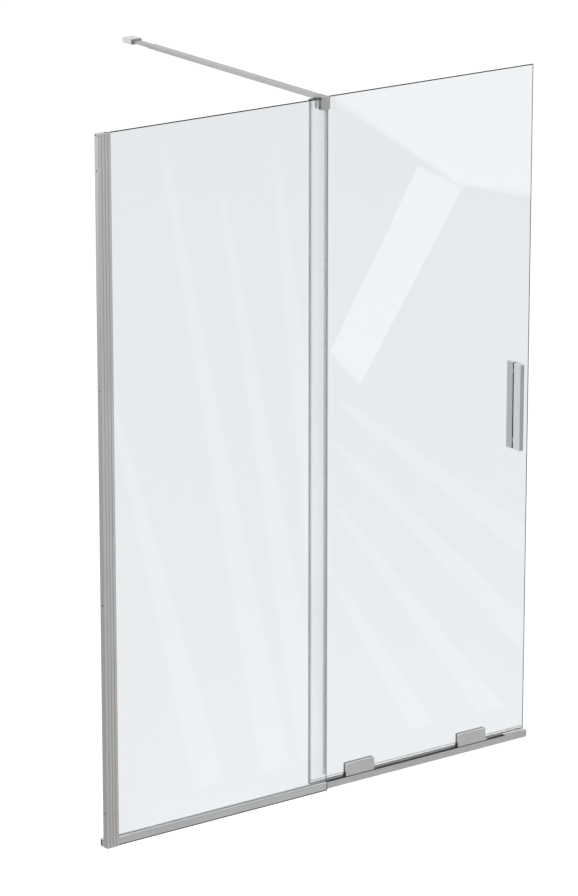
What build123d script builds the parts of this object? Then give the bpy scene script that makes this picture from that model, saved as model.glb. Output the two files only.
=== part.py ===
"""Sliding walk-in shower screen: a fixed pane in a wall profile and a bottom rail, and a sliding pane
on two roller carriages in a floor track behind it, steadied by a forked clamp and a stabiliser bar.

Millimetres. X runs along the screen from the wall, Y from the front to the shower side, Z up.
The origin is on the floor, at the wall, in the middle plane of the fixed pane.
"""
import os

from build123d import *

os.makedirs("parts", exist_ok=True)

# Overall sizes
screen_height = 2000.0
fixed_pane_edge = 746.0
pane_overlap = 51.0
door_width = 770.0
track_overrun = 9.0
support_bar_reach = 909.0

# Glass
glass_thickness = 6.0
glass_arris = 0.6
pane_gap = 8.0

# Wall profile and the channel it telescopes over
profile_width = 39.5
profile_depth = 19.0
profile_wall = 1.5
profile_corner = 1.0
profile_web_x = 20.0
profile_web = 2.0
pocket_gasket = 2.0
pocket_clearance = 0.3
glass_edge_gap = 2.0
flute_radius = 2.0
flute_depth = 0.6
flute_count = 3
cap_thickness = 2.0
cap_plug_length = 13.0
cap_plug_inset = 1.0
channel_back = 2.0
channel_arm = 1.8
channel_reach = 17.0
channel_clearance = 0.25
channel_top_gap = 4.0
wall_hole_radius = 2.5
wall_hole_inset = 100.0
wall_hole_count = 4
lock_screw_radius = 1.75
lock_screw_head = 3.5
lock_screw_head_depth = 1.5
lock_screw_inset = 150.0

# Fixed rail under the fixed pane
rail_height = 21.0
rail_wall = 1.2
rail_floor = 1.5
rail_bead = 0.8
rail_bead_depth = 10.0
rail_bead_lip = 1.0
rail_bead_overhang = 0.8
rail_packer_end = 80.0
rail_bead_end_gap = 5.0
rail_cap = 1.5
floor_seal = 3.0
setting_block = 3.0
setting_block_length = 60.0
setting_block_count = 3

# Clear seal on the free edge of the fixed pane
seal_wall = 0.8
seal_web = 1.0
overlap_seal_width = 12.6
overlap_seal_bottom = 50.0
seal_lip_root = 0.5
seal_lip_gap = 2.0
seal_lip_width = 1.0
seal_lip_reach = 4.0

# Slide track
track_height = 21.0
track_wall = 2.0
track_floor = 2.5
track_lip = 2.0
track_strip = 1.5
track_slot = 9.0
track_strip_edge = 0.4
running_strip = 0.8
running_strip_margin = 1.0
end_block_left = 50.0
end_block_right = 80.0
end_plate = 1.5
end_plug_inset = 2.0
end_edge = 0.5
stop_length = 20.0
buffer_length = 7.5
buffer_margin = 2.0
buffer_edge = 1.0
stop_screw_radius = 2.0
handle_stop_gap = 24.0

# Running clearances
side_clearance = 0.4
contact_gap = 0.3
lift_gap = 0.5
screw_fit = 0.05
axle_fit = 0.06
pin_fit = 0.02

# Door glass and its seals
door_bottom = 27.0
bottom_seal_height = 7.8
bottom_seal_wall = 0.7
bottom_seal_gap = 1.0
edge_seal_width = 7.0
edge_seal_gap = 0.5
edge_seal_top_gap = 1.0

# Carriages
carriage_length = 100.0
carriage_height = 39.3
carriage_plate = 5.5
carriage_corner = 4.0
carriage_edge = 1.2
carriage_inset_left = 126.0
carriage_inset_right = 143.0
liner = 0.5
liner_inset = 1.0
sole_inset = 2.0
liner_nub = 4.0
liner_nub_height = 10.0
cover_to_pane = 2.0
clamp_screw_radius = 2.5
clamp_screw_head = 4.8
clamp_screw_head_depth = 2.8
clamp_screw_sink = 0.2
clamp_screw_clearance = 0.2
cover_front_wall = 1.5
clamp_screw_inset = 25.0
clamp_screw_height = 45.0
sleeve_radius = 5.9
sleeve_clearance = 0.1

# Rollers
roller_radius = 6.5
roller_width = 5.0
roller_gap = 1.0
axle_radius = 1.5
cheek = 1.2
cheek_margin = 1.0
fork_inset = 18.0
keeper_length = 30.0
keeper_depth = 9.0
keeper_corner = 2.0

# Handle
handle_width = 14.0
handle_height = 256.0
handle_centre_height = 1015.0
handle_edge_distance = 47.0
handle_front_depth = 30.0
handle_rear_depth = 27.0
handle_edge = 1.5
handle_washer = 1.0
handle_stud_radius = 3.0
handle_stud_inset = 26.0
handle_stud_bite = 15.0
handle_bush_radius = 4.9
handle_flange_margin = 0.5
grub_screw_radius = 2.0
grub_screw_sink = 0.4

# Forked clamp
clamp_width = 26.0
clamp_head = 4.0
clamp_head_gap = 1.0
clamp_drop = 30.5
clamp_front = 8.5
clamp_rear = 10.0
clamp_foot_radius = 4.0
clamp_edge = 1.0
clamp_pad = 0.5
pad_inset = 0.5
guide_liner = 0.8
guide_liner_top = 0.6
set_screw_rises = (8.0, 22.0)
set_screw_sink = 0.5
key_clearance = 0.5
spigot_length = 20.0

# Stabiliser bar
bar_width = 26.0
bar_height = 10.0
bar_wall = 1.2
bar_corner = 1.0
bar_rod_shown = 78.0
bar_rod_inside = 150.0
bar_screw_radius = 2.0
bar_screw_inset = 10.0
bar_screw_tip_gap = 0.2
spigot_screw_bite = 2.0

# Wall bracket of the bar
bracket_width = 35.0
bracket_height = 15.5
bracket_body_depth = 22.0
bracket_base_depth = 22.0
bracket_collar = 2.5
bracket_hole_radius = 2.25
bracket_hole_spacing = 22.0
bracket_bar_bite = 16.0
bracket_edge = 1.0
bracket_screw_bite = 8.0
bracket_head_depth = 4.0

# Places worked out from the sizes above
half_glass = glass_thickness / 2
pane_pitch = glass_thickness + pane_gap
door_left = fixed_pane_edge - pane_overlap
door_right = door_left + door_width
track_length = door_right + track_overrun
door_front = pane_pitch - half_glass
door_back = pane_pitch + half_glass
half_pocket = half_glass + pocket_gasket
glass_left = profile_web_x + profile_web + glass_edge_gap
half_rail = half_glass + rail_wall + rail_bead
track_front = half_rail
track_back = 2 * pane_pitch - half_rail
track_lip_top = track_height - track_strip
track_lip_bottom = track_lip_top - track_lip
cavity_front = track_front + track_wall
cavity_back = track_back - track_wall
slot_front = pane_pitch - track_slot / 2
slot_back = pane_pitch + track_slot / 2
glass_bottom = floor_seal + rail_floor + setting_block
rail_end = fixed_pane_edge - rail_cap
strip_top = track_floor + running_strip
notch_x = profile_width + contact_gap
notch_y = profile_depth / 2 + contact_gap
carriage_bottom = track_height + lift_gap
carriage_top = carriage_bottom + carriage_height
cover_front = half_glass + cover_to_pane
cover_back = door_front - liner
chassis_front = door_back + liner
chassis_back = chassis_front + carriage_plate
screw_seat = chassis_back - clamp_screw_sink - clamp_screw_head_depth
sole_top = door_bottom - liner
axle_height = strip_top + contact_gap + roller_radius
carriage_starts = {
    "left": door_left + carriage_inset_left,
    "right": door_right - carriage_inset_right - carriage_length,
}
fork_places = [
    start + inset
    for start in carriage_starts.values()
    for inset in (fork_inset, carriage_length - fork_inset)
]
clamp_screw_places = [
    start + inset
    for start in carriage_starts.values()
    for inset in (clamp_screw_inset, carriage_length - clamp_screw_inset)
]
cheek_width = 2 * (roller_radius + cheek_margin)
handle_x = door_right - handle_edge_distance
door_travel = handle_x - handle_width / 2 - (fixed_pane_edge + seal_web) - handle_stop_gap
stud_heights = [
    handle_centre_height - handle_height / 2 + handle_stud_inset,
    handle_centre_height + handle_height / 2 - handle_stud_inset,
]
clamp_x = fixed_pane_edge - clamp_width / 2
clamp_top = screen_height + clamp_head_gap + clamp_head
clamp_slot_top = screen_height + clamp_head_gap
clamp_bottom = clamp_slot_top - clamp_drop - clamp_head_gap
half_pad_slot = half_glass + clamp_pad
half_guide_slot = half_glass + side_clearance + guide_liner
middle_leg_back = pane_pitch - half_guide_slot
rear_leg_front = pane_pitch + half_guide_slot
rear_leg_back = rear_leg_front + clamp_rear
set_screw_heights = [clamp_bottom + rise for rise in set_screw_rises]
bar_middle = clamp_top - bar_height / 2
bar_screw_y = rear_leg_back + spigot_length / 2
tube_end = support_bar_reach - bar_rod_shown
tube_screw_y = tube_end - bar_screw_inset
rod_width = bar_width - 2 * (bar_wall + contact_gap)
rod_height = bar_height - 2 * (bar_wall + contact_gap)
bracket_front = support_bar_reach
base_front = bracket_front + bracket_body_depth
base_back = base_front + bracket_base_depth

low_corner = (Align.MIN, Align.MIN, Align.MIN)
from_base = (Align.CENTER, Align.CENTER, Align.MIN)


def from_front(y):
    """A sketch plane at depth y, seen from the front with X to the right and Z up."""
    return Plane(origin=(0, y, 0), x_dir=(1, 0, 0), z_dir=(0, -1, 0))


def block(x, y, z, mode=Mode.ADD):
    """A block between two corners, each of x, y and z given as (low, high)."""
    with Locations((x[0], y[0], z[0])):
        Box(x[1] - x[0], y[1] - y[0], z[1] - z[0], align=low_corner, mode=mode)


def pin_along_y(x, y, z, radius, mode=Mode.ADD):
    """A round pin along Y, with y given as (low, high)."""
    with Locations((x, y[0], z)):
        Cylinder(radius, y[1] - y[0], rotation=(-90, 0, 0), align=from_base, mode=mode)


def pin_along_z(x, y, z, radius, mode=Mode.ADD):
    """A round pin along Z, with z given as (low, high)."""
    with Locations((x, y, z[0])):
        Cylinder(radius, z[1] - z[0], align=from_base, mode=mode)


def rectangle(x, y, mode=Mode.ADD):
    """A rectangle between two corners of the sketch, each of x and y given as (low, high)."""
    with Locations(((x[0] + x[1]) / 2, (y[0] + y[1]) / 2)):
        Rectangle(x[1] - x[0], y[1] - y[0], mode=mode)


# Wall channel: a U section that is screwed to the wall and hidden by the profile
half_channel = profile_depth / 2 - profile_wall - channel_clearance
channel_top = screen_height - cap_thickness - channel_top_gap
wall_hole_step = (screen_height - 2 * wall_hole_inset) / (wall_hole_count - 1)
wall_hole_heights = [wall_hole_inset + n * wall_hole_step for n in range(wall_hole_count)]
lock_screw_heights = [lock_screw_inset, screen_height / 2, screen_height - lock_screw_inset]
lock_screw_x = channel_back + (channel_reach - channel_back) / 2
with BuildPart() as wall_channel:
    with BuildSketch():
        rectangle((0, channel_reach), (-half_channel, half_channel))
        inside = half_channel - channel_arm
        rectangle((channel_back, channel_reach), (-inside, inside), Mode.SUBTRACT)
    extrude(amount=channel_top)
    with BuildSketch(Plane.YZ):
        with Locations(*[(0, z) for z in wall_hole_heights]):
            Circle(wall_hole_radius)
    extrude(amount=channel_back, mode=Mode.SUBTRACT)
    for z in lock_screw_heights:
        pin_along_y(lock_screw_x, (0, half_channel), z, lock_screw_radius + screw_fit, Mode.SUBTRACT)
wall_channel.part.label = "wall_channel"
export_step(wall_channel.part, "parts/wall_channel.step")

# Wall profile: a cavity for the channel, a web, a pocket for the pane, and flutes on both broad faces
half_cavity = profile_depth / 2 - profile_wall
with BuildPart() as wall_profile:
    with BuildSketch():
        with Locations((profile_width / 2, 0)):
            RectangleRounded(profile_width, profile_depth, profile_corner)
        rectangle((0, profile_web_x), (-half_cavity, half_cavity), Mode.SUBTRACT)
        pocket_front = profile_web_x + profile_web
        rectangle((pocket_front, profile_width), (-half_pocket, half_pocket), Mode.SUBTRACT)
        for side in (-1, 1):
            flute_y = side * (profile_depth / 2 + flute_radius - flute_depth)
            for n in range(flute_count):
                with Locations((profile_width * (n + 1) / (flute_count + 1), flute_y)):
                    Circle(flute_radius, mode=Mode.SUBTRACT)
    extrude(amount=screen_height - cap_thickness)
    for z in lock_screw_heights:
        wall_y = (half_cavity, profile_depth / 2)
        pin_along_y(lock_screw_x, wall_y, z, lock_screw_radius + 2 * screw_fit, Mode.SUBTRACT)
wall_profile.part.label = "wall_profile"
export_step(wall_profile.part, "parts/wall_profile.step")

# Cap on the profile: a plate slotted for the pane, with a plug between the arms of the channel
with BuildPart() as wall_profile_cap:
    with BuildSketch(Plane.XY.offset(screen_height - cap_thickness)):
        with Locations((profile_width / 2, 0)):
            RectangleRounded(profile_width, profile_depth, profile_corner)
        slot = half_glass + pocket_clearance
        rectangle((glass_left - pocket_clearance, profile_width), (-slot, slot), Mode.SUBTRACT)
    extrude(amount=cap_thickness)
    plug_y = half_channel - channel_arm - pocket_clearance
    plug_z = (screen_height - cap_thickness - cap_plug_length, screen_height - cap_thickness)
    block((channel_back + cap_plug_inset, channel_reach), (-plug_y, plug_y), plug_z)
wall_profile_cap.part.label = "wall_profile_cap"
export_step(wall_profile_cap.part, "parts/wall_profile_cap.step")

# Screws that lock the profile to the channel, on the shower side
with BuildPart() as profile_lock_screws:
    for z in lock_screw_heights:
        shank_y = (half_channel - channel_arm, profile_depth / 2)
        pin_along_y(lock_screw_x, shank_y, z, lock_screw_radius)
        head_y = (profile_depth / 2, profile_depth / 2 + lock_screw_head_depth)
        pin_along_y(lock_screw_x, head_y, z, lock_screw_head)
profile_lock_screws.part.label = "profile_lock_screws"
export_step(profile_lock_screws.part, "parts/profile_lock_screws.step")

# Fixed pane, with its edges arrissed
with BuildPart() as fixed_glass:
    block((glass_left, fixed_pane_edge), (-half_glass, half_glass), (glass_bottom, screen_height))
    chamfer(fixed_glass.edges(), glass_arris)
fixed_glass.part.label = "fixed_glass"
export_step(fixed_glass.part, "parts/fixed_glass.step")

# Gasket that holds the pane in the pocket of the profile
with BuildPart() as fixed_glass_gasket:
    with BuildSketch():
        gasket_x = (profile_web_x + profile_web, profile_width - pocket_clearance)
        rectangle(gasket_x, (-half_pocket, half_pocket))
        rectangle((glass_left, profile_width), (-half_glass, half_glass), Mode.SUBTRACT)
    extrude(amount=screen_height - cap_thickness)
fixed_glass_gasket.part.label = "fixed_glass_gasket"
export_step(fixed_glass_gasket.part, "parts/fixed_glass_gasket.step")

# Setting blocks between the rail's floor and the pane
half_rail_inside = half_rail - rail_wall
with BuildPart() as setting_blocks:
    for n in range(setting_block_count):
        middle = profile_width + (rail_end - profile_width) * (n + 0.5) / setting_block_count
        block_x = (middle - setting_block_length / 2, middle + setting_block_length / 2)
        block_z = (floor_seal + rail_floor, glass_bottom)
        block(block_x, (-half_rail_inside, half_rail_inside), block_z)
setting_blocks.part.label = "setting_blocks"
export_step(setting_blocks.part, "parts/setting_blocks.step")

# Fixed rail: a slim U section under the fixed pane
with BuildPart() as fixed_rail:
    with BuildSketch(Plane.YZ.offset(profile_width)):
        rectangle((-half_rail, half_rail), (floor_seal, rail_height))
        hollow_z = (floor_seal + rail_floor, rail_height)
        rectangle((-half_rail_inside, half_rail_inside), hollow_z, Mode.SUBTRACT)
    extrude(amount=rail_end - profile_width)
fixed_rail.part.label = "fixed_rail"
export_step(fixed_rail.part, "parts/fixed_rail.step")


def glazing_beads(x):
    """Two beads between pane and rail, each with a lip on top of the rail's wall."""
    for side in (-1, 1):
        bead_y = sorted((side * half_glass, side * half_rail_inside))
        block(x, bead_y, (rail_height - rail_bead_depth, rail_height))
        lip_y = sorted((side * half_glass, side * (half_rail_inside + rail_bead_overhang)))
        block(x, lip_y, (rail_height, rail_height + rail_bead_lip))


# Dark beads along the rail, and the pale packers that wedge the pane at its wall end
with BuildPart() as fixed_rail_beads:
    glazing_beads((rail_packer_end, rail_end - rail_bead_end_gap))
fixed_rail_beads.part.label = "fixed_rail_beads"
export_step(fixed_rail_beads.part, "parts/fixed_rail_beads.step")

with BuildPart() as fixed_rail_packers:
    glazing_beads((profile_width, rail_packer_end))
fixed_rail_packers.part.label = "fixed_rail_packers"
export_step(fixed_rail_packers.part, "parts/fixed_rail_packers.step")

# Seal strip between the rail and the floor
with BuildPart() as fixed_rail_floor_seal:
    block((profile_width, rail_end), (-half_rail, half_rail), (0, floor_seal))
fixed_rail_floor_seal.part.label = "fixed_rail_floor_seal"
export_step(fixed_rail_floor_seal.part, "parts/fixed_rail_floor_seal.step")

# End cap that closes the rail and wraps the corner of the pane
with BuildPart() as fixed_rail_end_cap:
    block((rail_end, fixed_pane_edge + rail_cap), (-half_rail, half_rail), (0, rail_height))
    corner_z = (glass_bottom, rail_height)
    block((rail_end, fixed_pane_edge), (-half_glass, half_glass), corner_z, Mode.SUBTRACT)
fixed_rail_end_cap.part.label = "fixed_rail_end_cap"
export_step(fixed_rail_end_cap.part, "parts/fixed_rail_end_cap.step")

# Clear seal on the pane's free edge. Its lip reaches the door above the height of the carriages
seal_top = clamp_bottom - lift_gap
with BuildPart() as overlap_seal:
    with BuildSketch(Plane.XY.offset(overlap_seal_bottom)):
        outside = half_glass + seal_wall
        edge_x = fixed_pane_edge
        rectangle((edge_x + seal_web - overlap_seal_width, edge_x + seal_web), (-outside, outside))
        rectangle((edge_x - overlap_seal_width, edge_x), (-half_glass, half_glass), Mode.SUBTRACT)
    extrude(amount=seal_top - overlap_seal_bottom)
    lip_bottom = carriage_top + seal_lip_gap
    with BuildSketch(Plane.XY.offset(lip_bottom)):
        lip_y = door_front - contact_gap
        with BuildLine():
            Polyline(
                (edge_x, outside - seal_wall / 2),
                (edge_x + seal_web, outside - seal_wall / 2),
                (edge_x + seal_web, outside + seal_lip_width),
                (edge_x + seal_lip_width - seal_lip_reach, lip_y),
                (edge_x - seal_lip_reach, lip_y),
                (edge_x, outside + seal_lip_root),
                close=True,
            )
        make_face()
    extrude(amount=seal_top - lip_bottom)
overlap_seal.part.label = "overlap_seal"
export_step(overlap_seal.part, "parts/overlap_seal.step")

# Slide track: a slotted channel section, notched round the foot of the wall profile
with BuildPart() as slide_track:
    with BuildSketch(Plane.YZ):
        rectangle((track_front, track_back), (0, track_lip_top))
        rectangle((cavity_front, cavity_back), (track_floor, track_lip_bottom), Mode.SUBTRACT)
        rectangle((slot_front, slot_back), (track_floor, track_lip_top), Mode.SUBTRACT)
    extrude(amount=track_length - end_plate)
    block((0, notch_x), (track_front, notch_y), (0, track_height), Mode.SUBTRACT)
slide_track.part.label = "slide_track"
export_step(slide_track.part, "parts/slide_track.step")

# Steel strip that the rollers run on
strip_x = (end_block_left, track_length - end_block_right)
half_strip = roller_width / 2 + running_strip_margin
with BuildPart() as track_running_strip:
    block(strip_x, (pane_pitch - half_strip, pane_pitch + half_strip), (track_floor, strip_top))
track_running_strip.part.label = "track_running_strip"
export_step(track_running_strip.part, "parts/track_running_strip.step")

# Seal strips on the two lips of the track: a dark one in front, a pale one behind
with BuildPart() as track_seal_front:
    block(strip_x, (track_front, slot_front), (track_lip_top, track_height))
    chamfer(track_seal_front.edges().filter_by(Axis.X).group_by(Axis.Z)[-1], track_strip_edge)
track_seal_front.part.label = "track_seal_front"
export_step(track_seal_front.part, "parts/track_seal_front.step")

with BuildPart() as track_seal_rear:
    block(strip_x, (slot_back, track_back), (track_lip_top, track_height))
    chamfer(track_seal_rear.edges().filter_by(Axis.X).group_by(Axis.Z)[-1], track_strip_edge)
track_seal_rear.part.label = "track_seal_rear"
export_step(track_seal_rear.part, "parts/track_seal_rear.step")

# End blocks: a plate on the lips with a plug in the slot, notched at the wall, closed at the free end
with BuildPart() as track_end_left:
    plate_z = (track_lip_top, track_height)
    block((0, end_block_left), (track_front, track_back), plate_z)
    plug_y = (slot_front + side_clearance, slot_back - side_clearance)
    plug_x = (end_plug_inset, end_block_left - end_plug_inset)
    block(plug_x, plug_y, (track_floor, track_lip_top))
    block((0, notch_x), (track_front, notch_y), (0, track_height), Mode.SUBTRACT)
track_end_left.part.label = "track_end_left"
export_step(track_end_left.part, "parts/track_end_left.step")

with BuildPart() as track_end_right:
    block((track_length - end_block_right, track_length), (track_front, track_back), plate_z)
    block((track_length - end_plate, track_length), (track_front, track_back), (0, track_height))
    plug_x = (track_length - end_block_right + end_plug_inset, track_length - end_plate)
    block(plug_x, plug_y, (track_floor, track_lip_top))
    chamfer(track_end_right.edges().group_by(Axis.X)[-1], end_edge)
track_end_right.part.label = "track_end_right"
export_step(track_end_right.part, "parts/track_end_right.step")

# Stops in the track: the outer cheeks of the carriages meet a rubber buffer at each end of the travel
first_cheek = min(fork_places) - cheek_width / 2 - door_travel
last_cheek = max(fork_places) + cheek_width / 2
buffer_ranges = [
    (first_cheek - contact_gap - buffer_length, first_cheek - contact_gap),
    (last_cheek + contact_gap, last_cheek + contact_gap + buffer_length),
]
stop_ranges = [
    (buffer_ranges[0][0] - stop_length, buffer_ranges[0][0]),
    (buffer_ranges[1][1], buffer_ranges[1][1] + stop_length),
]
stop_screw_places = [sum(stop) / 2 for stop in stop_ranges]
with BuildPart() as track_stops:
    for stop in stop_ranges:
        block(stop, (cavity_front, cavity_back), (strip_top, track_lip_bottom))
    for x in stop_screw_places:
        screw_z = (strip_top, track_lip_bottom)
        pin_along_z(x, pane_pitch, screw_z, stop_screw_radius + screw_fit, Mode.SUBTRACT)
track_stops.part.label = "track_stops"
export_step(track_stops.part, "parts/track_stops.step")

with BuildPart() as track_stop_screws:
    for x in stop_screw_places:
        pin_along_z(x, pane_pitch, (strip_top, track_lip_bottom - set_screw_sink), stop_screw_radius)
track_stop_screws.part.label = "track_stop_screws"
export_step(track_stop_screws.part, "parts/track_stop_screws.step")

with BuildPart() as track_buffers:
    for span in buffer_ranges:
        buffer_z = (strip_top + buffer_margin, track_lip_bottom - buffer_margin)
        block(span, (slot_front, slot_back), buffer_z)
    chamfer(track_buffers.edges().filter_by(Axis.Z), buffer_edge)
track_buffers.part.label = "track_buffers"
export_step(track_buffers.part, "parts/track_buffers.step")

# Forked clamp: three legs under one head, the first slot grips the fixed pane, the second guides the door
with BuildPart() as clamp_body:
    with BuildSketch(Plane.YZ.offset(clamp_x - clamp_width / 2)):
        legs = [
            (-half_pad_slot - clamp_front, -half_pad_slot),
            (half_pad_slot, middle_leg_back),
            (rear_leg_front, rear_leg_back),
        ]
        rectangle((legs[0][0], legs[2][1]), (clamp_slot_top, clamp_top))
        for leg in legs:
            rectangle(leg, (clamp_bottom, clamp_slot_top))
    extrude(amount=clamp_width)
    feet = clamp_body.edges().filter_by(Axis.X).group_by(Axis.Z)[0].sort_by(Axis.Y)
    fillet(feet[-2:], clamp_foot_radius)
    fillet(clamp_body.edges().filter_by(Axis.X).group_by(Axis.Y)[0], clamp_edge)
    spigot_y = (rear_leg_back, rear_leg_back + spigot_length)
    half_spigot = rod_width / 2
    spigot_z = (bar_middle - rod_height / 2, bar_middle + rod_height / 2)
    block((clamp_x - half_spigot, clamp_x + half_spigot), spigot_y, spigot_z)
    for z in set_screw_heights:
        thread_y = (half_pad_slot, middle_leg_back)
        pin_along_y(clamp_x, thread_y, z, clamp_screw_radius + screw_fit, Mode.SUBTRACT)
        key_y = (rear_leg_front, rear_leg_back)
        pin_along_y(clamp_x, key_y, z, clamp_screw_radius + key_clearance, Mode.SUBTRACT)
    screw_z = (bar_middle - rod_height / 2, clamp_top)
    pin_along_z(clamp_x, bar_screw_y, screw_z, bar_screw_radius + screw_fit, Mode.SUBTRACT)
clamp_body.part.label = "clamp_body"
export_step(clamp_body.part, "parts/clamp_body.step")

# Pad that wraps the top edge of the fixed pane in the first slot
with BuildPart() as clamp_pads:
    with BuildSketch(Plane.YZ.offset(clamp_x - clamp_width / 2 + pad_inset)):
        pad_z = (clamp_bottom + pad_inset, screen_height + clamp_pad)
        rectangle((-half_pad_slot, half_pad_slot), pad_z)
        rectangle((-half_glass, half_glass), (clamp_bottom, screen_height), Mode.SUBTRACT)
    extrude(amount=clamp_width - 2 * pad_inset)
clamp_pads.part.label = "clamp_pads"
export_step(clamp_pads.part, "parts/clamp_pads.step")

# Low-friction liner of the second slot, that the door glass slides through
with BuildPart() as clamp_guide_liner:
    with BuildSketch(Plane.YZ.offset(clamp_x - clamp_width / 2)):
        rectangle((middle_leg_back, rear_leg_front), (clamp_bottom + pad_inset, clamp_slot_top))
        inner = half_glass + side_clearance
        inner_z = (clamp_bottom, clamp_slot_top - guide_liner_top)
        rectangle((pane_pitch - inner, pane_pitch + inner), inner_z, Mode.SUBTRACT)
    extrude(amount=clamp_width)
clamp_guide_liner.part.label = "clamp_guide_liner"
export_step(clamp_guide_liner.part, "parts/clamp_guide_liner.step")

# Set screws in the middle leg, that press the pad on the fixed pane
with BuildPart() as clamp_set_screws:
    for z in set_screw_heights:
        screw_y = (half_pad_slot, middle_leg_back - set_screw_sink)
        pin_along_y(clamp_x, screw_y, z, clamp_screw_radius)
clamp_set_screws.part.label = "clamp_set_screws"
export_step(clamp_set_screws.part, "parts/clamp_set_screws.step")

# Outer tube of the stabiliser bar, over the clamp's spigot
with BuildPart() as support_bar_tube:
    with BuildSketch(from_front(rear_leg_back)):
        with Locations((clamp_x, bar_middle)):
            RectangleRounded(bar_width, bar_height, bar_corner)
            Rectangle(bar_width - 2 * bar_wall, bar_height - 2 * bar_wall, mode=Mode.SUBTRACT)
    extrude(amount=rear_leg_back - tube_end)
    tube_top = (bar_middle, clamp_top)
    tube_bottom = (clamp_top - bar_height, bar_middle)
    hole_radius = bar_screw_radius + screw_fit
    pin_along_z(clamp_x, bar_screw_y, tube_top, hole_radius, Mode.SUBTRACT)
    pin_along_z(clamp_x, tube_screw_y, tube_bottom, hole_radius, Mode.SUBTRACT)
support_bar_tube.part.label = "support_bar_tube"
export_step(support_bar_tube.part, "parts/support_bar_tube.step")

# Inner rod, that telescopes in the tube and ends in the wall bracket
rod_end = bracket_front + bracket_bar_bite
with BuildPart() as support_bar_rod:
    with BuildSketch(from_front(tube_end - bar_rod_inside)):
        with Locations((clamp_x, bar_middle)):
            Rectangle(rod_width, rod_height)
    extrude(amount=tube_end - bar_rod_inside - rod_end)
    rod_hole_z = (bar_middle - rod_height / 2, bar_middle)
    pin_along_z(clamp_x, tube_screw_y, rod_hole_z, hole_radius, Mode.SUBTRACT)
    rod_screw_y = bracket_front + bracket_bar_bite / 2
    pin_along_z(clamp_x, rod_screw_y, rod_hole_z, hole_radius, Mode.SUBTRACT)
support_bar_rod.part.label = "support_bar_rod"
export_step(support_bar_rod.part, "parts/support_bar_rod.step")


# Set screws: tube to spigot from above, tube to rod and bracket to rod from below
bracket_bottom = bar_middle - bracket_height / 2
with BuildPart() as support_bar_screws:
    screw_tip = bar_middle - bar_screw_tip_gap
    pin_along_z(clamp_x, bar_screw_y, (bar_middle - spigot_screw_bite, clamp_top), bar_screw_radius)
    pin_along_z(clamp_x, tube_screw_y, (clamp_top - bar_height, screw_tip), bar_screw_radius)
    pin_along_z(clamp_x, rod_screw_y, (bracket_bottom, screw_tip), bar_screw_radius)
support_bar_screws.part.label = "support_bar_screws"
export_step(support_bar_screws.part, "parts/support_bar_screws.step")

# Wall bracket: a base on the wall, a body that takes the rod, and a dark collar round the rod
bracket_z = (bracket_bottom, bracket_bottom + bracket_height)
bracket_x = (clamp_x - bracket_width / 2, clamp_x + bracket_width / 2)
with BuildPart() as bar_bracket_base:
    block(bracket_x, (base_front, base_back), bracket_z)
    chamfer(bar_bracket_base.edges().filter_by(Axis.Y), bracket_edge)
    for side in (-1, 1):
        hole_x = clamp_x + side * bracket_hole_spacing / 2
        pin_along_y(hole_x, (base_front, base_back), bar_middle, bracket_hole_radius, Mode.SUBTRACT)
        head_y = (base_front, base_front + bracket_head_depth)
        pin_along_y(hole_x, head_y, bar_middle, 2 * bracket_hole_radius, Mode.SUBTRACT)
    screw_y = (base_front, base_front + bracket_screw_bite)
    pin_along_y(clamp_x, screw_y, bar_middle, clamp_screw_radius + screw_fit, Mode.SUBTRACT)
bar_bracket_base.part.label = "bar_bracket_base"
export_step(bar_bracket_base.part, "parts/bar_bracket_base.step")

with BuildPart() as bar_bracket_body:
    block(bracket_x, (bracket_front, base_front), bracket_z)
    chamfer(bar_bracket_body.edges().filter_by(Axis.Y), bracket_edge)
    with BuildSketch(from_front(bracket_front)):
        with Locations((clamp_x, bar_middle)):
            Rectangle(rod_width + 2 * contact_gap, rod_height + 2 * contact_gap)
    extrude(amount=-bracket_bar_bite - contact_gap, mode=Mode.SUBTRACT)
    screw_y = (bracket_front + bracket_bar_bite, base_front)
    pin_along_y(clamp_x, screw_y, bar_middle, clamp_screw_radius + screw_fit, Mode.SUBTRACT)
    pin_along_z(clamp_x, rod_screw_y, (bracket_bottom, bar_middle), hole_radius, Mode.SUBTRACT)
bar_bracket_body.part.label = "bar_bracket_body"
export_step(bar_bracket_body.part, "parts/bar_bracket_body.step")

with BuildPart() as bar_bracket_collar:
    block(bracket_x, (bracket_front - bracket_collar, bracket_front), bracket_z)
    chamfer(bar_bracket_collar.edges().filter_by(Axis.Y), bracket_edge)
    with BuildSketch(from_front(bracket_front)):
        with Locations((clamp_x, bar_middle)):
            Rectangle(rod_width + 2 * contact_gap, rod_height + 2 * contact_gap)
    extrude(amount=bracket_collar, mode=Mode.SUBTRACT)
bar_bracket_collar.part.label = "bar_bracket_collar"
export_step(bar_bracket_collar.part, "parts/bar_bracket_collar.step")

# Screw that joins the bracket's body to its base, behind the end of the rod
with BuildPart() as bar_bracket_screw:
    screw_y = (rod_end + contact_gap, base_front + bracket_screw_bite)
    pin_along_y(clamp_x, screw_y, bar_middle, clamp_screw_radius)
bar_bracket_screw.part.label = "bar_bracket_screw"
export_step(bar_bracket_screw.part, "parts/bar_bracket_screw.step")

# Door pane, arrissed, with holes for the handle's studs and the carriages' clamp screws
with BuildPart() as sliding_glass:
    block((door_left, door_right), (door_front, door_back), (door_bottom, screen_height))
    chamfer(sliding_glass.edges(), glass_arris)
    for z in stud_heights:
        hole = handle_bush_radius + sleeve_clearance
        pin_along_y(handle_x, (door_front, door_back), z, hole, Mode.SUBTRACT)
    for x in clamp_screw_places:
        hole = sleeve_radius + sleeve_clearance
        pin_along_y(x, (door_front, door_back), clamp_screw_height, hole, Mode.SUBTRACT)
sliding_glass.part.label = "sliding_glass"
export_step(sliding_glass.part, "parts/sliding_glass.step")

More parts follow.
